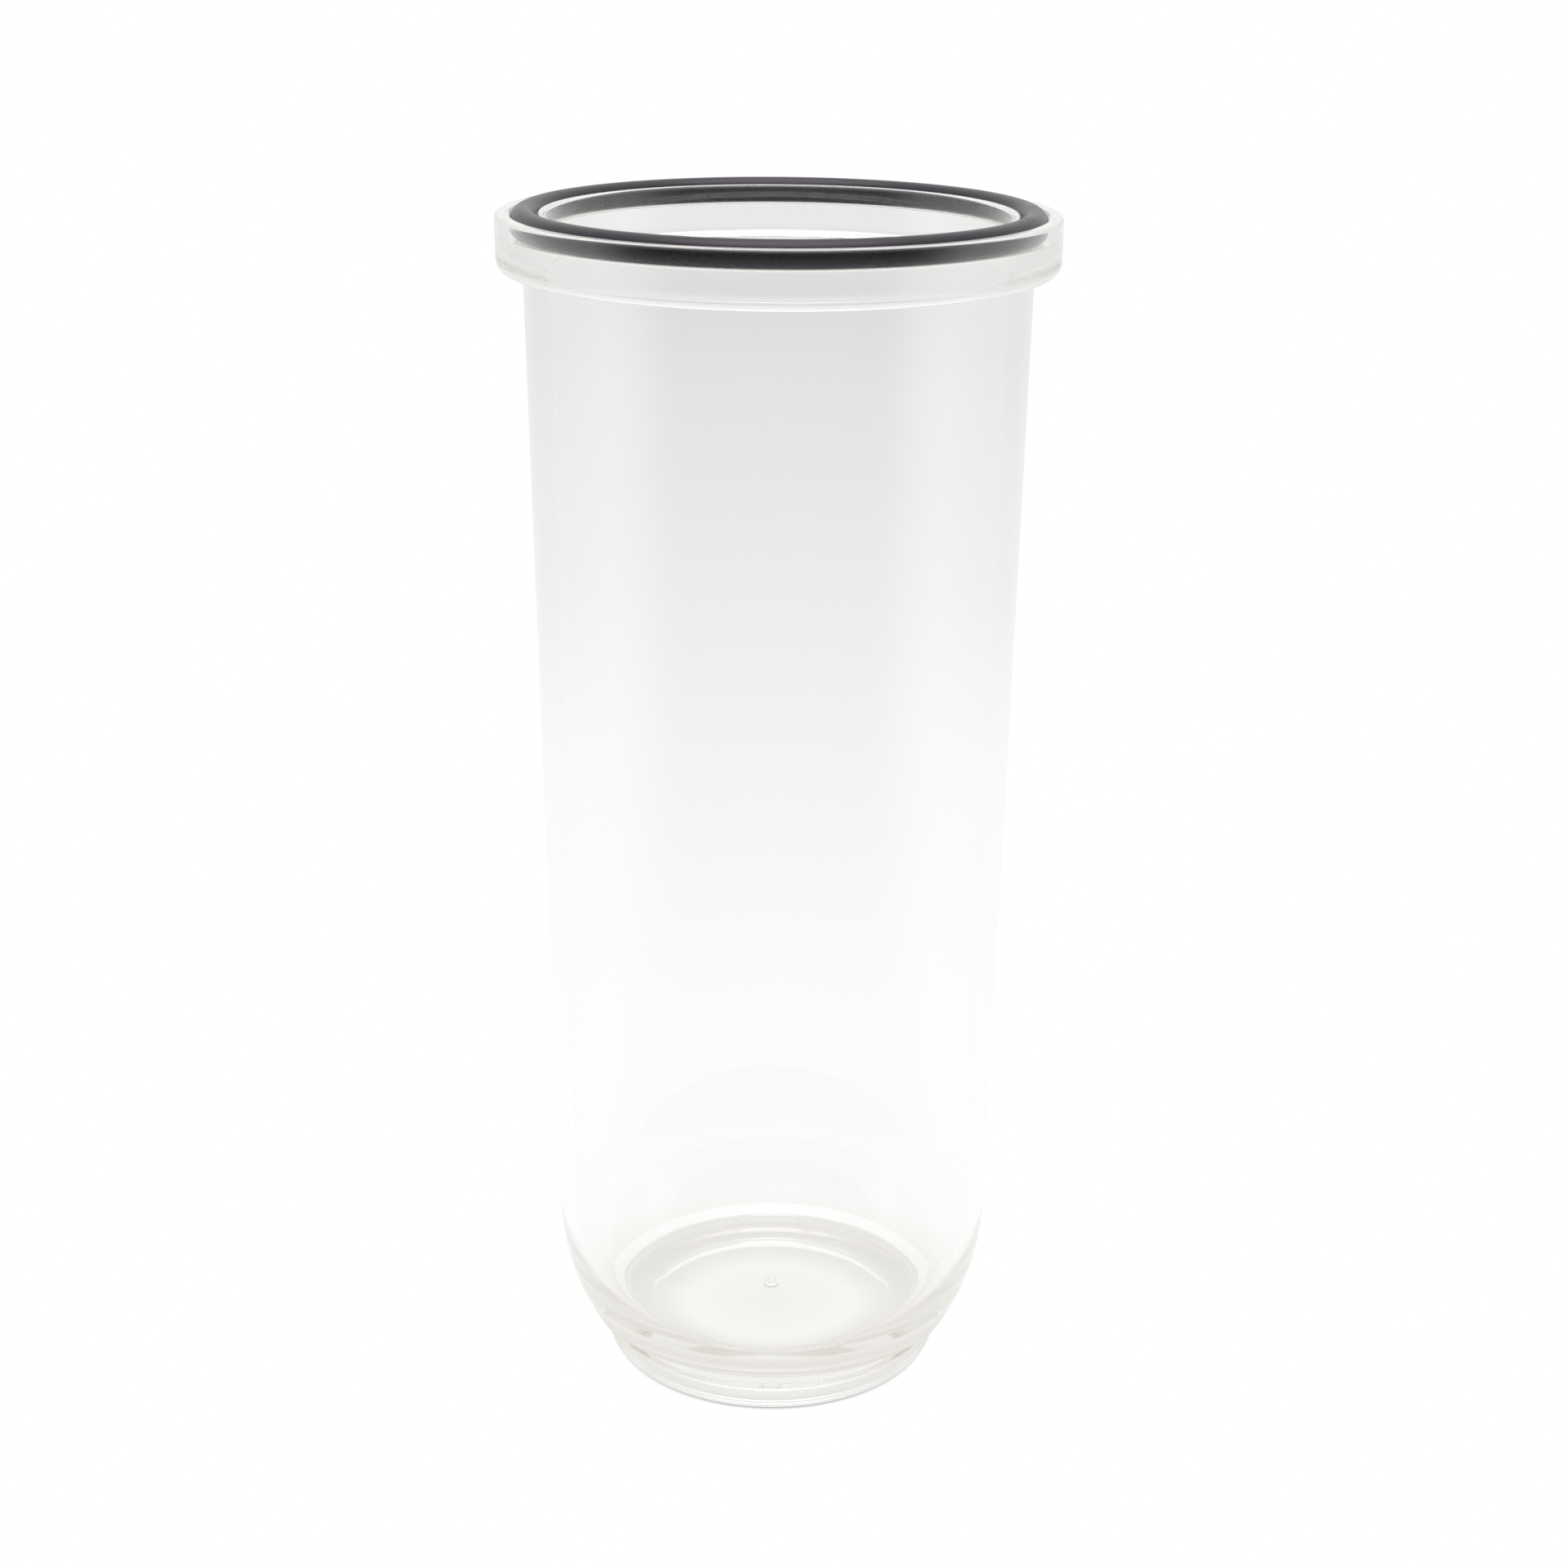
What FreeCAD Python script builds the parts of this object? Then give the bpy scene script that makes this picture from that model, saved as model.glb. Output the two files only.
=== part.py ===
"""A clear moulded canister, open at the top, with a rubber seal ring seated in its rim.

The model is a parametric document in millimetres. The origin is the centre of the foot's
underside, and +Z runs up the axis to the open mouth. Both pieces are turned about that axis,
so each outline below is drawn as distance from the axis against height.
"""
import FreeCAD, Part
import os
import Sketcher

# Driving dimensions: name, size and what it measures.
DIMENSIONS = (
    ("body_height", 246.0, "foot underside to rim face"),
    ("flange_radius", 55.0, "outside of the rim flange"),
    ("flange_depth", 11.0, "rim face to flange underside"),
    ("flange_rounding", 2.5, "lower outer edge of the flange"),
    ("lip_rounding", 0.7, "upper outer edge of the flange"),
    ("neck_radius", 49.8, "outside of the wall under the flange"),
    ("neck_rounding", 0.4, "inside corner between wall and flange"),
    ("belly_radius", 46.5, "outside of the wall where the dome starts"),
    ("dome_start", 33.5, "height where wall turns into dome"),
    ("crease_radius", 39.7, "outside of the dome at its lower edge"),
    ("crease_height", 9.3, "height of that edge"),
    ("crease_rounding", 0.4, "that edge"),
    ("foot_top_radius", 36.6, "foot at its top, where it meets the slope under the dome's edge"),
    ("foot_height", 7.4, "height of the foot's top"),
    ("foot_top_rounding", 0.8, "inside corner at the foot's top"),
    ("foot_base_radius", 35.9, "foot at its underside, before rounding"),
    ("foot_rounding", 2.5, "lower edge of the foot"),
    ("bore_radius", 45.2, "inside of the mouth"),
    ("bore_rounding", 0.9, "edge between mouth and rim face"),
    ("inner_belly_radius", 42.8, "inside of the wall where the dome starts"),
    ("floor_corner_radius", 33.2, "inside of the dome where it meets the floor"),
    ("floor_rounding", 2.0, "inside corner between dome and floor"),
    ("floor_height", 10.5, "top of the thick floor"),
    ("seal_slot_inside", 46.6, "inner wall of the seal slot"),
    ("seal_slot_outside", 52.4, "outer wall of the seal slot"),
    ("seal_slot_depth", 4.15, "rim face to slot floor"),
    ("seal_slot_rounding", 0.6, "corners of the slot floor"),
    ("recess_radius", 27.6, "shallow recess under the foot"),
    ("recess_depth", 2.7, "foot underside to recess ceiling"),
    ("recess_rounding", 0.5, "corner of the recess ceiling"),
    ("gate_radius", 1.7, "moulding mark at the middle of the floor"),
    ("gate_height", 1.8, "moulding mark above the floor"),
    ("gate_dimple_radius", 0.9, "dimple in the moulding mark"),
    ("gate_dimple_depth", 0.4, "depth of that dimple"),
    ("seal_radius", 49.5, "axis to the middle of the seal's cord"),
    ("seal_section", 5.3, "thickness of the seal's cord"),
    ("seal_stand_proud", 1.2, "seal above the rim face"),
)
CLOSE = 0.02  # how near an edge has to be to count as the named one


def make_sheet(doc):
    """The spreadsheet that every sketch and feature takes its sizes from."""
    sheet = doc.addObject("Spreadsheet::Sheet", "dimensions")
    for row, (name, size, meaning) in enumerate(DIMENSIONS, start=1):
        sheet.set(f"A{row}", name)
        sheet.set(f"B{row}", str(size))
        sheet.set(f"C{row}", meaning)
        sheet.setAlias(f"B{row}", name)
    doc.recompute()
    return sheet


def value(sketch, formula):
    """The number that a formula of spreadsheet names has now. No formula means the axis or the base."""
    if formula is None:
        return 0.0
    return float(sketch.evalExpression(formula))


def size(name):
    """How a formula names a cell of the spreadsheet."""
    return "dimensions." + name


def new_sketch(body, name):
    """A sketch on the body's own upright plane, with the turning axis as its vertical axis."""
    sketch = body.newObject("Sketcher::SketchObject", name)
    plane = [item for item in body.Origin.OriginFeatures if item.Role == "XZ_Plane"][0]
    sketch.AttachmentSupport = [(plane, "")]
    sketch.MapMode = "FlatFace"
    return sketch


def hold(sketch, geometry, point, across, up):
    """Tie a point of the sketch to its distance from the axis and its height."""
    places = (("DistanceX", across, -2), ("DistanceY", up, -1))
    for direction, formula, axis in places:
        if formula is None:
            sketch.addConstraint(Sketcher.Constraint("PointOnObject", geometry, point, axis))
        else:
            now = value(sketch, formula)
            index = sketch.addConstraint(Sketcher.Constraint(direction, -1, 1, geometry, point, now))
            sketch.setExpression(f"Constraints[{index}]", formula)


def dome_arc(low, high):
    """The arc from low to high that is upright at high, which is close to the dome's own arc."""
    across = high.x - low.x
    up = high.y - low.y
    radius = (across ** 2 + up ** 2) / (2 * across)
    centre = FreeCAD.Vector(high.x - radius, high.y, 0)
    middle = centre + ((low + high) * 0.5 - centre).normalize() * radius
    return Part.Arc(low, middle, high)


def draw_outline(sketch, corners, dome=None):
    """Draw a closed outline, anticlockwise. The span that starts at corner number dome is an arc
    tangent to the wall after it, and every other span is straight."""
    points = [FreeCAD.Vector(value(sketch, across), value(sketch, up), 0) for across, up in corners]
    ends = points[1:] + points[:1]
    for index, (start, end) in enumerate(zip(points, ends)):
        span = dome_arc(start, end) if index == dome else Part.LineSegment(start, end)
        sketch.addGeometry(span, False)
    for index in range(len(corners)):
        after = (index + 1) % len(corners)
        joint = "Tangent" if index == dome else "Coincident"
        sketch.addConstraint(Sketcher.Constraint(joint, index, 2, after, 1))
    for index, (across, up) in enumerate(corners):
        hold(sketch, index, 1, across, up)


def turn(body, kind, name, corners, dome=None):
    """Turn an outline about the axis, as a Revolution that adds or a Groove that cuts."""
    before = body.Shape.Volume if body.Tip else 0.0
    sketch = new_sketch(body, name + "_outline")
    draw_outline(sketch, corners, dome)
    feature = body.newObject("PartDesign::" + kind, name)
    feature.Profile = sketch
    feature.ReferenceAxis = (sketch, ["V_Axis"])
    feature.Angle = 360.0
    body.Document.recompute()
    change = body.Shape.Volume - before
    if (kind == "Groove") != (change < 0):
        raise RuntimeError(f"{name} changed the volume by {change:.1f} mm3, the wrong way")


def ring_edges(shape, radius, height):
    """Names of the round edges at a distance from the axis and a height."""
    names = []
    for number, edge in enumerate(shape.Edges, start=1):
        curve = edge.Curve
        if isinstance(curve, Part.Circle):
            near = abs(curve.Radius - radius) < CLOSE and abs(curve.Center.z - height) < CLOSE
            if near and abs(curve.Axis.z) > 1 - CLOSE:
                names.append(f"Edge{number}")
    return names


def round_off(body, name, rounding, rings):
    """Round the edges of the rings, each given as formulas for its radius and height."""
    base = body.Tip
    names = []
    for across, up in rings:
        found = ring_edges(base.Shape, value(base, across), value(base, up))
        if not found:
            raise RuntimeError(f"{name} finds no edge at {across}, {up}")
        names += found
    feature = body.newObject("PartDesign::Fillet", name)
    feature.Base = (base, names)
    feature.setExpression("Radius", size(rounding))
    body.Document.recompute()


def make_canister(doc):
    """The clear body: drafted wall, domed end on a short foot, thick floor, and a flange at the mouth."""
    body = doc.addObject("PartDesign::Body", "canister")
    body.Label = "canister_body"
    rim = size("body_height")
    flange_under = f"{rim} - {size('flange_depth')}"
    slot_floor = f"{rim} - {size('seal_slot_depth')}"
    floor = size("floor_height")
    gate_top = f"{floor} + {size('gate_height')}"

    turn(body, "Revolution", "outside", (
        (None, None),
        (size("foot_base_radius"), None),
        (size("foot_top_radius"), size("foot_height")),
        (size("crease_radius"), size("crease_height")),
        (size("belly_radius"), size("dome_start")),
        (size("neck_radius"), flange_under),
        (size("flange_radius"), flange_under),
        (size("flange_radius"), rim),
        (None, rim),
    ), dome=3)
    turn(body, "Groove", "inside", (
        (None, floor),
        (size("floor_corner_radius"), floor),
        (size("inner_belly_radius"), size("dome_start")),
        (size("bore_radius"), rim),
        (None, rim),
    ), dome=1)
    turn(body, "Groove", "seal_slot", (
        (size("seal_slot_inside"), slot_floor),
        (size("seal_slot_outside"), slot_floor),
        (size("seal_slot_outside"), rim),
        (size("seal_slot_inside"), rim),
    ))
    turn(body, "Groove", "foot_recess", (
        (None, None),
        (size("recess_radius"), None),
        (size("recess_radius"), size("recess_depth")),
        (None, size("recess_depth")),
    ))
    turn(body, "Revolution", "gate_mark", (
        (None, floor),
        (size("gate_radius"), floor),
        (size("gate_radius"), gate_top),
        (None, gate_top),
    ))
    turn(body, "Groove", "gate_dimple", (
        (None, f"{gate_top} - {size('gate_dimple_depth')}"),
        (size("gate_dimple_radius"), f"{gate_top} - {size('gate_dimple_depth')}"),
        (size("gate_dimple_radius"), gate_top),
        (None, gate_top),
    ))

    round_off(body, "foot_edge", "foot_rounding", ((size("foot_base_radius"), "0"),))
    round_off(body, "foot_top", "foot_top_rounding", ((size("foot_top_radius"), size("foot_height")),))
    round_off(body, "crease", "crease_rounding", ((size("crease_radius"), size("crease_height")),))
    round_off(body, "neck", "neck_rounding", ((size("neck_radius"), flange_under),))
    round_off(body, "flange_edge", "flange_rounding", ((size("flange_radius"), flange_under),))
    round_off(body, "flange_lip", "lip_rounding", ((size("flange_radius"), rim),))
    round_off(body, "mouth_edge", "bore_rounding", ((size("bore_radius"), rim),))
    round_off(body, "floor_corner", "floor_rounding", ((size("floor_corner_radius"), floor),))
    round_off(body, "slot_corners", "seal_slot_rounding", (
        (size("seal_slot_inside"), slot_floor),
        (size("seal_slot_outside"), slot_floor),
    ))
    round_off(body, "recess_corner", "recess_rounding", ((size("recess_radius"), size("recess_depth")),))
    return body


def make_seal(doc):
    """The loose rubber ring of round section that lies in the slot and stands proud of the rim."""
    body = doc.addObject("PartDesign::Body", "seal")
    body.Label = "rim_seal_ring"
    sketch = new_sketch(body, "cord_section")
    middle = f"{size('body_height')} + {size('seal_stand_proud')} - {size('seal_section')} / 2"
    centre = FreeCAD.Vector(value(sketch, size("seal_radius")), value(sketch, middle), 0)
    radius = value(sketch, size("seal_section")) / 2
    sketch.addGeometry(Part.Circle(centre, FreeCAD.Vector(0, 0, 1), radius), False)
    centre_point = 3
    hold(sketch, 0, centre_point, size("seal_radius"), middle)
    index = sketch.addConstraint(Sketcher.Constraint("Diameter", 0, 2 * radius))
    sketch.setExpression(f"Constraints[{index}]", size("seal_section"))
    ring = body.newObject("PartDesign::Revolution", "ring")
    ring.Profile = sketch
    ring.ReferenceAxis = (sketch, ["V_Axis"])
    ring.Angle = 360.0
    doc.recompute()
    return body


def check(doc, bodies):
    """Stop if any object failed or any piece is missing or broken."""
    for item in doc.Objects:
        if "Invalid" in item.State or "Error" in item.State:
            raise RuntimeError(f"{item.Label} did not build: {item.State}")
    for body in bodies:
        shape = body.Shape
        if shape.isNull() or not shape.isValid() or len(shape.Solids) != 1:
            raise RuntimeError(f"{body.Label} is not one valid solid")


def main():
    doc = FreeCAD.newDocument("canister")
    make_sheet(doc)
    bodies = (make_canister(doc), make_seal(doc))
    doc.recompute()
    check(doc, bodies)
    os.makedirs("parts", exist_ok=True)
    for body in bodies:
        body.Shape.exportStep(f"parts/{body.Label}.step")
        box = body.Shape.BoundBox
        print(f"{body.Label}: {body.Shape.Volume / 1000:.2f} cm3, height {box.ZMin:.2f} to {box.ZMax:.2f}")
    overlap = bodies[0].Shape.common(bodies[1].Shape).Volume
    print(f"overlap of seal and canister: {overlap:.4f} mm3")


main()
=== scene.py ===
"""Studio scene for a clear moulded canister with a black rubber seal ring in its rim.

Everything is in metres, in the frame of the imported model. Both pieces are turned here as fine
meshes about the Z axis, because clear plastic is all reflection and refraction, and those need
smooth surfaces.
"""
import math

import bmesh
import bpy
from mathutils import Matrix, Vector


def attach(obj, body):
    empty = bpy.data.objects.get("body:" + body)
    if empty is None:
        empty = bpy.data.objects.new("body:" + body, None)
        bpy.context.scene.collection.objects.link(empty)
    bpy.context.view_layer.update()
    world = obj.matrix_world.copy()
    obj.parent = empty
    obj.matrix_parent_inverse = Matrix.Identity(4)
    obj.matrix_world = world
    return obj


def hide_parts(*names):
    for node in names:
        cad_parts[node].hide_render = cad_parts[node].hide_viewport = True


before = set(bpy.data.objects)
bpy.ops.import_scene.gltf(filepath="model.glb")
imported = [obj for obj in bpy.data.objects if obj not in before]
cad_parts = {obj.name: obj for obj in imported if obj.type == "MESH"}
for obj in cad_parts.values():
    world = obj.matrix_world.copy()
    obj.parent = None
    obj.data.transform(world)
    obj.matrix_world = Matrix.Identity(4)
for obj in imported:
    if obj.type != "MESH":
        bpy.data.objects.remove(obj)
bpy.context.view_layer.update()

MM = 0.001
RIM = 246.0 * MM
FLANGE_RADIUS = 55.0 * MM
SEAL_SECTION = 5.3 * MM
SEAL_RADIUS = 49.5 * MM
SEAL_MIDDLE = RIM + 1.2 * MM - SEAL_SECTION / 2

# How finely things are turned and curved.
TURNING_STEPS = 288
ARC_STEP_DEGREES = 9
FEWEST_ARC_STEPS = 4
OUTER_DOME_STEPS = 30
INNER_DOME_STEPS = 26
FLOOR_CORNER_STEPS = 10
SEAL_STEPS = 48
MERGE_DISTANCE = 1e-7
NORMAL_WEIGHT = 100

WHITE = (1.0, 1.0, 1.0, 1.0)

# The clear plastic. Near the rim's top it turns from clear to partly white: a painted highlight for the
# bright line along the rim's edge.
PLASTIC_INDEX = 1.57
POLISH_SCALE = 60.0
POLISH_DETAIL = 6.0
POLISH = ((0.35, 0.004), (0.75, 0.03))
PAINTED_RIM_HIGHLIGHT = (RIM - 0.3 * MM, RIM - 0.05 * MM)
RIM_HIGHLIGHT_CLEARNESS = 0.7
DEPTH_TINT = (0.975, 0.973, 0.964, 1.0)
DEPTH_TINT_DENSITY = 50.0

# The seal's rubber, which has a fine grain and larger patches of colour and sheen.
GRAIN_SCALE = 2600.0
GRAIN_DETAIL = 4.0
GRAIN_STRENGTH = 0.35
GRAIN_HEIGHT = 0.04 * MM
PATCH_SCALE = 140.0
PATCH_DETAIL = 5.0
RUBBER_COLOURS = ((0.3, (0.0025, 0.0023, 0.003)), (0.75, (0.007, 0.0062, 0.008)))
RUBBER_ROUGHNESS = ((0.3, 0.24), (0.75, 0.34))
RUBBER_GLOSS_TINT = (0.95, 0.85, 1.0, 1.0)

# Light that has met more surfaces than this is replaced by a painted pale glow, an emission on the
# plastic and the seal, because otherwise it shows as hard black spots in the thick foot. The limits
# were found by trying different ones, and aren't measured from a real plastic.
LOST_AFTER = 7.5
SEAL_LOST_AFTER = 3.5
PLASTIC_PAINTED_GLOW = (0.86, 0.85, 0.83, 1.0)
SEAL_PAINTED_GLOW = (0.8, 0.79, 0.77, 1.0)

# The light tent. Its levels and edges, and the table's, were set in many rounds so that the
# plastic's tones match the photograph's, so they aren't those of a real tent. TENT_PEAK is the
# brightest that its ramps can be. REAR_CORNERS and SIDE_PANELS say how far to the side a heading
# is where each starts and where it has taken over, and FRONT_OPENING says how far to the front.
TENT_PEAK = 8.0
REAR_CORNERS = (0.1, 0.5)
SIDE_PANELS = (0.7, 0.87)
FRONT_OPENING = (0.1, 0.65)

# The table's brightness by distance from the canister, as a share of TABLE_REACH. The back levels
# were worked back from how light the wall is in the photograph at several heights.
TABLE_RADIUS = 6.0
TABLE_SEGMENTS = 96
TABLE_DROP = 0.1 * MM
TABLE_REACH = 3.0
# The table's levels are painted light: the table glows, and no lamp lights it.
TABLE_LEVELS = {
    "back": (
        (0.02, 1.0), (0.063, 1.0), (0.14, 0.975), (0.223, 0.94), (0.298, 0.908),
        (0.384, 0.898), (0.5, 0.855), (0.6, 0.9), (1.0, 0.88),
    ),
    "corner": ((0.02, 1.0), (0.063, 1.0), (0.14, 0.97), (0.223, 0.88), (0.453, 0.8), (1.0, 0.77)),
    "side": ((0.02, 1.0), (0.063, 1.0), (0.14, 0.97), (0.223, 0.89), (0.453, 0.82), (1.0, 0.77)),
    "front": (
        (0.02, 1.0), (0.05, 0.96), (0.067, 0.86), (0.133, 0.6), (0.2, 0.45), (0.37, 0.25), (0.6, 0.08),
    ),
}

# Nothing casts a shadow, because the table glows. The canister's shadow, and the thin dark line of
# shade where it touches the table, are painted on by distance from its axis, as a share of
# SHADOW_REACH. The camera sees only the line, and the plastic shows only the shadow.
SHADOW_REACH = 80.0 * MM
SHADOW = (
    (0.0, (0.88, 0.88, 0.86)), (0.24, (0.93, 0.93, 0.91)), (0.32, (0.82, 0.81, 0.78)),
    (0.41, (0.76, 0.74, 0.71)), (0.48, (0.80, 0.78, 0.74)), (0.56, (0.92, 0.90, 0.87)),
    (0.75, (0.99, 0.99, 0.98)), (1.0, 1.0),
)
CONTACT_SHADOW_LINE = ((0.42, 0.42), (0.43, 0.5), (0.437, 0.88), (0.443, 1.0))

# The tent's brightness by the upward part of a direction.
TENT_LEVELS = {
    "back": ((0.0, 0.86), (0.2, 0.84), (0.5, 0.95), (0.75, 1.1), (0.86, 1.3), (0.95, 3.0)),
    "corner": ((0.0, 0.8), (0.4, 0.85), (0.86, 1.2), (0.95, 3.0)),
    "side": ((0.0, 0.75), (0.4, 0.85), (0.86, 1.2), (0.95, 3.0)),
    "front": ((0.0, 0.15), (0.15, 0.35), (0.5, 0.6), (0.86, 1.2), (0.95, 3.0)),
}

# The camera, which looks down and is turned a little about its line of sight. Its numbers come
# from a fit to the photograph's ellipses, with the centre of view in the middle of the picture.
SENSOR_WIDTH = 36.0
LENS = 59.76
CAMERA_PLACE = (1.88 * MM, -512.9 * MM, RIM + 62.1 * MM)
CAMERA_DOWN = math.radians(19.31)
CAMERA_ROLL = math.radians(0.49)

LIGHT_BOUNCES = 32


# ---------------------------------------------------------------- outlines

def arc(centre, radius, first_angle, last_angle, steps):
    """Corners on an arc. An outline is in the plane of distance from the axis and height."""
    corners = []
    for step in range(steps + 1):
        angle = first_angle + (last_angle - first_angle) * step / steps
        corners.append((centre.x + radius * math.cos(angle), centre.y + radius * math.sin(angle), 0.0))
    return corners


def rounded(corners):
    """Points of a closed outline through corners of (distance, height, rounding)."""
    points = []
    count = len(corners)
    for index, (across, up, rounding) in enumerate(corners):
        here = Vector((across, up))
        if rounding == 0.0:
            points.append(here)
            continue
        before = (Vector(corners[index - 1][:2]) - here).normalized()
        after = (Vector(corners[(index + 1) % count][:2]) - here).normalized()
        half_angle = before.angle(after) / 2
        reach = rounding / math.tan(half_angle)
        centre = here + (before + after).normalized() * rounding / math.sin(half_angle)
        first = here + before * reach - centre
        last = here + after * reach - centre
        start = math.atan2(first.y, first.x)
        sweep = math.remainder(math.atan2(last.y, last.x) - start, math.tau)
        steps = max(FEWEST_ARC_STEPS, round(abs(math.degrees(sweep)) / ARC_STEP_DEGREES))
        points += [Vector(corner[:2]) for corner in arc(centre, rounding, start, start + sweep, steps)]
    return points


def dome_circle(low, high, slope):
    """Centre and radius of the dome's arc, which passes through low and meets the wall at high."""
    outward = Vector((math.cos(slope), -math.sin(slope)))
    chord = Vector(low) - Vector(high)
    radius = -chord.length_squared / (2 * chord.dot(outward))
    return Vector(high) - outward * radius, radius


def outer_dome(low, high, slope):
    """Corners of the dome's outside, from the crease at low to the wall at high."""
    centre, radius = dome_circle(low, high, slope)
    start = math.atan2(low[1] - centre.y, low[0] - centre.x)
    return arc(centre, radius, start, -slope, OUTER_DOME_STEPS)[1:]


def inner_dome(low, high, slope, rounding):
    """Corners of the dome's inside, from the wall at high down to the floor, with a rounded corner."""
    centre, radius = dome_circle(low, high, slope)
    rounding_up = low[1] + rounding - centre.y
    rounding_across = math.sqrt((radius - rounding) ** 2 - rounding_up ** 2)
    rounding_centre = centre + Vector((rounding_across, rounding_up))
    end = math.atan2(rounding_up, rounding_across)
    dome = arc(centre, radius, -slope, end, INNER_DOME_STEPS)
    corner = arc(rounding_centre, rounding, end, -math.pi / 2, FLOOR_CORNER_STEPS)
    return dome + corner[1:]


def body_outline():
    """The clear body: foot, dome, wall and flange outside, then slot, wall, dome and floor inside."""
    foot_base, foot_top, foot_height = 35.9 * MM, 36.6 * MM, 7.4 * MM
    crease, crease_height, belly, dome_start = 39.7 * MM, 9.3 * MM, 46.5 * MM, 33.5 * MM
    neck, flange_under = 49.8 * MM, RIM - 11.0 * MM
    bore, inner_belly = 45.2 * MM, 42.8 * MM
    floor_height, floor_corner, inner_dome_start = 10.5 * MM, 33.2 * MM, 33.5 * MM
    floor_rounding = 2.0 * MM
    slot_floor, slot_inside, slot_outside = RIM - 4.15 * MM, 46.6 * MM, 52.4 * MM
    recess, recess_depth = 27.6 * MM, 2.7 * MM
    gate, gate_top = 1.7 * MM, 12.3 * MM
    dimple, dimple_floor = 0.9 * MM, 11.9 * MM
    recess_rounding, foot_rounding, foot_top_rounding = 0.5 * MM, 2.5 * MM, 0.8 * MM
    crease_rounding, flange_rounding, rim_rounding = 0.4 * MM, 2.5 * MM, 0.7 * MM
    slot_rounding, bore_rounding, gate_rounding = 0.6 * MM, 0.9 * MM, 0.3 * MM
    fine_rounding = 0.2 * MM
    outer_slope = math.atan2(neck - belly, flange_under - dome_start)
    inner_slope = math.atan2(bore - inner_belly, RIM - inner_dome_start)
    return rounded([
        (0.0, recess_depth, 0.0),
        (recess, recess_depth, recess_rounding),
        (recess, 0.0, fine_rounding),
        (foot_base, 0.0, foot_rounding),
        (foot_top, foot_height, foot_top_rounding),
        (crease, crease_height, crease_rounding),
        *outer_dome((crease, crease_height), (belly, dome_start), outer_slope),
        (neck, flange_under, crease_rounding),
        (FLANGE_RADIUS, flange_under, flange_rounding),
        (FLANGE_RADIUS, RIM, rim_rounding),
        (slot_outside, RIM, fine_rounding),
        (slot_outside, slot_floor, slot_rounding),
        (slot_inside, slot_floor, slot_rounding),
        (slot_inside, RIM, fine_rounding),
        (bore, RIM, bore_rounding),
        *inner_dome(
            (floor_corner, floor_height), (inner_belly, inner_dome_start), inner_slope, floor_rounding
        ),
        (gate, floor_height, gate_rounding),
        (gate, gate_top, fine_rounding),
        (dimple, gate_top, fine_rounding),
        (dimple, dimple_floor, fine_rounding),
        (0.0, dimple_floor, 0.0),
    ])


def seal_outline():
    """The seal's round section."""
    centre = Vector((SEAL_RADIUS, SEAL_MIDDLE))
    corners = arc(centre, SEAL_SECTION / 2, 0, math.tau, SEAL_STEPS)
    return [Vector(corner[:2]) for corner in corners[:-1]]


def turned(name, outline):
    """A closed mesh made by turning a closed outline, drawn anticlockwise, about the Z axis."""
    mesh = bmesh.new()
    rings = []
    for step in range(TURNING_STEPS):
        angle = math.tau * step / TURNING_STEPS
        ring = [mesh.verts.new((p.x * math.cos(angle), p.x * math.sin(angle), p.y)) for p in outline]
        rings.append(ring)
    count = len(outline)
    for step, ring in enumerate(rings):
        beside = rings[(step + 1) % TURNING_STEPS]
        for index in range(count):
            after = (index + 1) % count
            if outline[index].x == 0.0 and outline[after].x == 0.0:
                continue
            mesh.faces.new((ring[index], beside[index], beside[after], ring[after]))
    bmesh.ops.remove_doubles(mesh, verts=mesh.verts, dist=MERGE_DISTANCE)
    bmesh.ops.recalc_face_normals(mesh, faces=mesh.faces)
    data = bpy.data.meshes.new(name)
    mesh.to_mesh(data)
    mesh.free()
    data.shade_smooth()
    piece = bpy.data.objects.new(name, data)
    bpy.context.scene.collection.objects.link(piece)
    weighted = piece.modifiers.new("weighted_normals", "WEIGHTED_NORMAL")
    weighted.mode = "FACE_AREA"
    weighted.weight = NORMAL_WEIGHT
    return piece


# ---------------------------------------------------------------- materials

def new_material(name):
    """A material with its nodes, its links and its Principled shader."""
    material = bpy.data.materials.new(name)
    material.use_nodes = True
    nodes = material.node_tree.nodes
    return material, nodes, material.node_tree.links, nodes["Principled BSDF"]


def on_ramp(nodes, links, value, stops):
    """What a value becomes on a ramp. Each stop is a position and a grey or a colour."""
    ramp = nodes.new("ShaderNodeValToRGB")
    elements = ramp.color_ramp.elements
    while len(elements) < len(stops):
        elements.new(0.5)
    for element, (position, colour) in zip(elements, stops):
        if isinstance(colour, float):
            colour = (colour, colour, colour)
        element.position = position
        element.color = (*colour, 1.0)
    links.new(value, ramp.inputs["Fac"])
    return ramp.outputs["Color"]


def noise(nodes, links, place, scale, detail):
    """Noise of a scale and detail, from 0 to 1."""
    texture = nodes.new("ShaderNodeTexNoise")
    texture.inputs["Scale"].default_value = scale
    texture.inputs["Detail"].default_value = detail
    links.new(place, texture.inputs["Vector"])
    return texture.outputs["Fac"]


def math_node(nodes, links, operation, first, second):
    """The result of a sum on two inputs, each a number or another node's output."""
    node = nodes.new("ShaderNodeMath")
    node.operation = operation
    for socket, value in zip(node.inputs, (first, second)):
        if isinstance(value, (int, float)):
            socket.default_value = value
        else:
            links.new(value, socket)
    return node.outputs[0]


def lost_light(nodes, links, bounces):
    """1 for light that has met more than this many surfaces, and 0 for other light."""
    path = nodes.new("ShaderNodeLightPath")
    return math_node(nodes, links, "GREATER_THAN", path.outputs["Ray Depth"], bounces)


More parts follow.
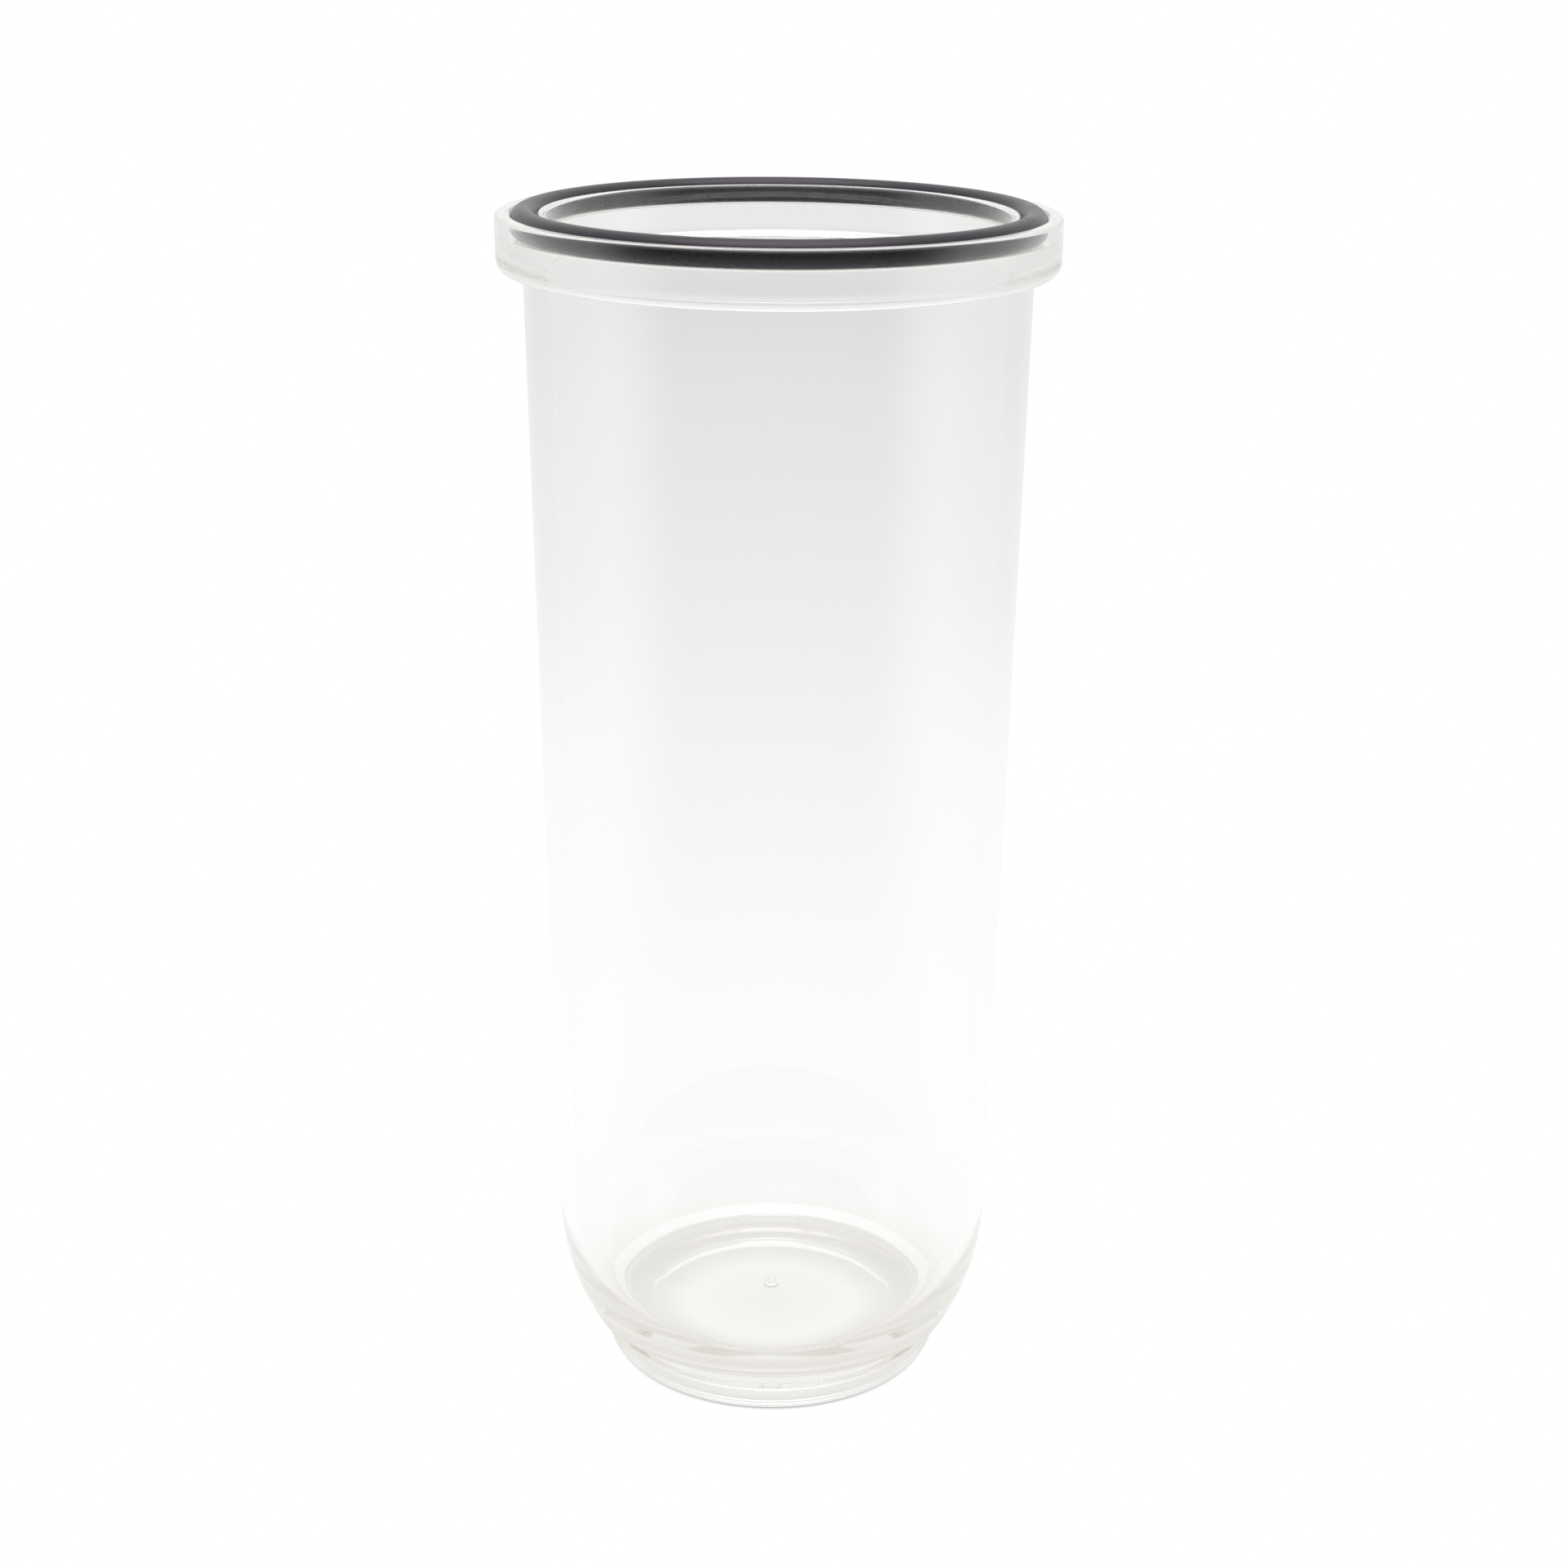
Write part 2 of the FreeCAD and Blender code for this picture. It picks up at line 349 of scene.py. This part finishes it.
def clear_plastic():
    """Clear, polished moulded plastic with an uneven polish, a little tint where it is thick and a
    partly white rim top that is a painted highlight. Light that has been inside it for long is
    replaced by a painted pale glow."""
    material, nodes, links, shader = new_material("clear_plastic")
    shader.inputs["Base Color"].default_value = WHITE
    shader.inputs["IOR"].default_value = PLASTIC_INDEX
    place = nodes.new("ShaderNodeTexCoord").outputs["Object"]
    unevenness = noise(nodes, links, place, POLISH_SCALE, POLISH_DETAIL)
    links.new(on_ramp(nodes, links, unevenness, POLISH), shader.inputs["Roughness"])
    tint = nodes.new("ShaderNodeVolumeAbsorption")
    tint.inputs["Color"].default_value = DEPTH_TINT
    tint.inputs["Density"].default_value = DEPTH_TINT_DENSITY
    output = nodes["Material Output"]
    links.new(tint.outputs["Volume"], output.inputs["Volume"])
    # Near the rim's top the plastic turns partly white: a painted highlight for the rim's bright edge.
    height = nodes.new("ShaderNodeSeparateXYZ")
    links.new(place, height.inputs["Vector"])
    clearness = nodes.new("ShaderNodeMapRange")
    clearness.inputs["From Min"].default_value = PAINTED_RIM_HIGHLIGHT[0]
    clearness.inputs["From Max"].default_value = PAINTED_RIM_HIGHLIGHT[1]
    clearness.inputs["To Min"].default_value = 1.0
    clearness.inputs["To Max"].default_value = RIM_HIGHLIGHT_CLEARNESS
    links.new(height.outputs["Z"], clearness.inputs["Value"])
    links.new(clearness.outputs["Result"], shader.inputs["Transmission Weight"])
    # A painted pale glow in place of light that has been inside the plastic for long.
    glow = nodes.new("ShaderNodeEmission")
    glow.inputs["Color"].default_value = PLASTIC_PAINTED_GLOW
    surface = nodes.new("ShaderNodeMixShader")
    links.new(lost_light(nodes, links, LOST_AFTER), surface.inputs["Fac"])
    links.new(shader.outputs[0], surface.inputs[1])
    links.new(glow.outputs[0], surface.inputs[2])
    links.new(surface.outputs[0], output.inputs["Surface"])
    material.cycles.emission_sampling = "NONE"
    return material


def seal_rubber():
    """Black moulded rubber with a fine grain and a patchy sheen. Where light reaches it through many
    clear surfaces, a painted pale glow is added."""
    material, nodes, links, shader = new_material("seal_rubber")
    place = nodes.new("ShaderNodeTexCoord").outputs["Object"]
    bump = nodes.new("ShaderNodeBump")
    bump.inputs["Strength"].default_value = GRAIN_STRENGTH
    bump.inputs["Distance"].default_value = GRAIN_HEIGHT
    links.new(noise(nodes, links, place, GRAIN_SCALE, GRAIN_DETAIL), bump.inputs["Height"])
    links.new(bump.outputs["Normal"], shader.inputs["Normal"])
    patches = noise(nodes, links, place, PATCH_SCALE, PATCH_DETAIL)
    links.new(on_ramp(nodes, links, patches, RUBBER_COLOURS), shader.inputs["Base Color"])
    links.new(on_ramp(nodes, links, patches, RUBBER_ROUGHNESS), shader.inputs["Roughness"])
    shader.inputs["Specular Tint"].default_value = RUBBER_GLOSS_TINT
    # A painted pale glow where light reaches the rubber through many clear surfaces.
    shader.inputs["Emission Color"].default_value = SEAL_PAINTED_GLOW
    links.new(lost_light(nodes, links, SEAL_LOST_AFTER), shader.inputs["Emission Strength"])
    material.cycles.emission_sampling = "NONE"
    return material


# ---------------------------------------------------------------- studio

def seen_white_mix(nodes, links, graded_glow, white):
    """A mix of shaders: the white one where the camera looks straight at it, else the graded glow."""
    path = nodes.new("ShaderNodeLightPath")
    mix = nodes.new("ShaderNodeMixShader")
    links.new(path.outputs["Is Camera Ray"], mix.inputs["Fac"])
    links.new(graded_glow.outputs[0], mix.inputs[1])
    links.new(white.outputs[0], mix.inputs[2])
    return mix


def share(nodes, links, socket, low, high):
    """How far a value has come from low to high, smoothly, from 0 to 1."""
    reach = nodes.new("ShaderNodeMapRange")
    reach.interpolation_type = "SMOOTHSTEP"
    reach.inputs["From Min"].default_value = low
    reach.inputs["From Max"].default_value = high
    links.new(socket, reach.inputs["Value"])
    return reach.outputs["Result"]


def reflected_light(nodes, links, steps_here):
    """1 for light that the object reflects, and 0 for light that only passes straight through it.
    steps_here is how many steps the Ray Depth adds for what the light ends on: 0 for an object such
    as the table and 1 for the world."""
    path = nodes.new("ShaderNodeLightPath")
    before = math_node(nodes, links, "SUBTRACT", path.outputs["Ray Depth"], steps_here)
    return math_node(nodes, links, "GREATER_THAN", before, path.outputs["Transmission Depth"])


def of_peak(levels):
    """Ramp stops with their levels as shares of TENT_PEAK, because a ramp can't go above 1."""
    return [(position, level / TENT_PEAK) for position, level in levels]


def around_the_tent(nodes, links, place, along, reflected, back, corner, side, front):
    """A brightness that follows one ramp behind the canister, one in the tent's rear corners, one
    at its sides and one in its front opening, which is dark. The opening only shows in reflections,
    unlike a real one, because seen through the wall from behind it makes clear plastic look
    smoke-grey. place is a point or direction from the canister, along is where on the ramps it is
    and reflected is 1 for reflected light."""
    flattened = nodes.new("ShaderNodeVectorMath")
    flattened.operation = "MULTIPLY"
    flattened.inputs[1].default_value = (1.0, 1.0, 0.0)
    links.new(place, flattened.inputs[0])
    heading = nodes.new("ShaderNodeVectorMath")
    heading.operation = "NORMALIZE"
    links.new(flattened.outputs["Vector"], heading.inputs[0])
    split = nodes.new("ShaderNodeSeparateXYZ")
    links.new(heading.outputs["Vector"], split.inputs["Vector"])
    sideways = math_node(nodes, links, "ABSOLUTE", split.outputs["X"], 0.0)
    forwards = math_node(nodes, links, "MULTIPLY", split.outputs["Y"], -1.0)
    opening = share(nodes, links, forwards, *FRONT_OPENING)
    overlays = (
        (corner, share(nodes, links, sideways, *REAR_CORNERS)),
        (side, share(nodes, links, sideways, *SIDE_PANELS)),
        (front, math_node(nodes, links, "MULTIPLY", opening, reflected)),
    )
    colour = on_ramp(nodes, links, along, of_peak(back))
    for levels, fraction in overlays:
        mix = nodes.new("ShaderNodeMixRGB")
        links.new(fraction, mix.inputs["Fac"])
        links.new(colour, mix.inputs["Color1"])
        links.new(on_ramp(nodes, links, along, of_peak(levels)), mix.inputs["Color2"])
        colour = mix.outputs["Color"]
    return colour


def painted_light_table():
    """The table top, which glows with painted light in place of the tent's lighting, with the
    canister's painted shadow.
    """
    material = bpy.data.materials.new("painted_light_table")
    material.use_nodes = True
    nodes = material.node_tree.nodes
    links = material.node_tree.links
    nodes.remove(nodes["Principled BSDF"])
    place = nodes.new("ShaderNodeTexCoord").outputs["Object"]
    distance = nodes.new("ShaderNodeVectorMath")
    distance.operation = "LENGTH"
    links.new(place, distance.inputs[0])
    reach = nodes.new("ShaderNodeMapRange")
    reach.inputs["From Max"].default_value = TABLE_REACH
    links.new(distance.outputs["Value"], reach.inputs["Value"])
    reflected = reflected_light(nodes, links, steps_here=0)
    colour = around_the_tent(nodes, links, place, reach.outputs["Result"], reflected, **TABLE_LEVELS)
    # The canister's painted shadow, by distance from its axis.
    near = nodes.new("ShaderNodeMapRange")
    near.inputs["From Max"].default_value = SHADOW_REACH
    links.new(distance.outputs["Value"], near.inputs["Value"])
    shaded = nodes.new("ShaderNodeMixRGB")
    shaded.blend_type = "MULTIPLY"
    shaded.inputs["Fac"].default_value = 1.0
    links.new(colour, shaded.inputs["Color1"])
    links.new(on_ramp(nodes, links, near.outputs["Result"], SHADOW), shaded.inputs["Color2"])
    graded_glow = nodes.new("ShaderNodeEmission")
    graded_glow.inputs["Strength"].default_value = TENT_PEAK
    links.new(shaded.outputs["Color"], graded_glow.inputs["Color"])
    # What the camera sees: white, with the painted shade line where the canister touches the table.
    white = nodes.new("ShaderNodeEmission")
    links.new(on_ramp(nodes, links, near.outputs["Result"], CONTACT_SHADOW_LINE), white.inputs["Color"])
    mix = seen_white_mix(nodes, links, graded_glow, white)
    links.new(mix.outputs[0], nodes["Material Output"].inputs["Surface"])
    material.cycles.emission_sampling = "NONE"
    return material


def make_floor():
    """A large table top, glowing with painted light and shadow, round and far wider than the picture.
    """
    mesh = bmesh.new()
    bmesh.ops.create_circle(mesh, cap_ends=True, segments=TABLE_SEGMENTS, radius=TABLE_RADIUS)
    data = bpy.data.meshes.new("floor")
    mesh.to_mesh(data)
    mesh.free()
    floor = bpy.data.objects.new("floor", data)
    bpy.context.scene.collection.objects.link(floor)
    floor.location.z = -TABLE_DROP
    floor.data.materials.append(painted_light_table())


def make_world():
    """The white tent around the table, with a bright panel overhead."""
    world = bpy.data.worlds.new("studio")
    world.use_nodes = True
    bpy.context.scene.world = world
    nodes = world.node_tree.nodes
    links = world.node_tree.links
    place = nodes.new("ShaderNodeTexCoord").outputs["Generated"]
    split = nodes.new("ShaderNodeSeparateXYZ")
    links.new(place, split.inputs["Vector"])
    reflected = reflected_light(nodes, links, steps_here=1)
    colour = around_the_tent(nodes, links, place, split.outputs["Z"], reflected, **TENT_LEVELS)
    graded_glow = nodes["Background"]
    graded_glow.inputs["Strength"].default_value = TENT_PEAK
    links.new(colour, graded_glow.inputs["Color"])
    white = nodes.new("ShaderNodeBackground")
    white.inputs["Color"].default_value = WHITE
    mix = seen_white_mix(nodes, links, graded_glow, white)
    links.new(mix.outputs[0], nodes["World Output"].inputs["Surface"])
    world.cycles.sampling_method = "NONE"


def make_camera():
    """The picture's viewpoint: half a metre away and a little above the rim, looking down."""
    data = bpy.data.cameras.new("camera")
    data.sensor_width = SENSOR_WIDTH
    data.lens = LENS
    camera = bpy.data.objects.new("camera", data)
    bpy.context.scene.collection.objects.link(camera)
    look_down = Matrix.Rotation(math.pi / 2 - CAMERA_DOWN, 4, "X")
    roll = Matrix.Rotation(CAMERA_ROLL, 4, "Z")
    place = Matrix.Translation(CAMERA_PLACE)
    camera.matrix_world = place @ look_down @ roll
    bpy.context.scene.camera = camera


def set_light_paths():
    """Enough bounces for light to cross four clear surfaces and find its way out of the thick floor."""
    cycles = bpy.context.scene.cycles
    cycles.max_bounces = LIGHT_BOUNCES
    cycles.transmission_bounces = LIGHT_BOUNCES
    cycles.glossy_bounces = LIGHT_BOUNCES


# ---------------------------------------------------------------- the object

def make_canister():
    """The clear body, in place of the CAD one."""
    piece = turned("canister", body_outline())
    piece.data.materials.append(clear_plastic())
    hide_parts("canister_body")
    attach(piece, "canister")


def make_seal():
    """The seal ring, in place of the CAD one."""
    piece = turned("seal_ring", seal_outline())
    piece.data.materials.append(seal_rubber())
    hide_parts("rim_seal_ring")
    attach(piece, "seal")


make_canister()
make_seal()
make_floor()
make_world()
make_camera()
set_light_paths()
bpy.context.scene.view_settings.view_transform = "Standard"
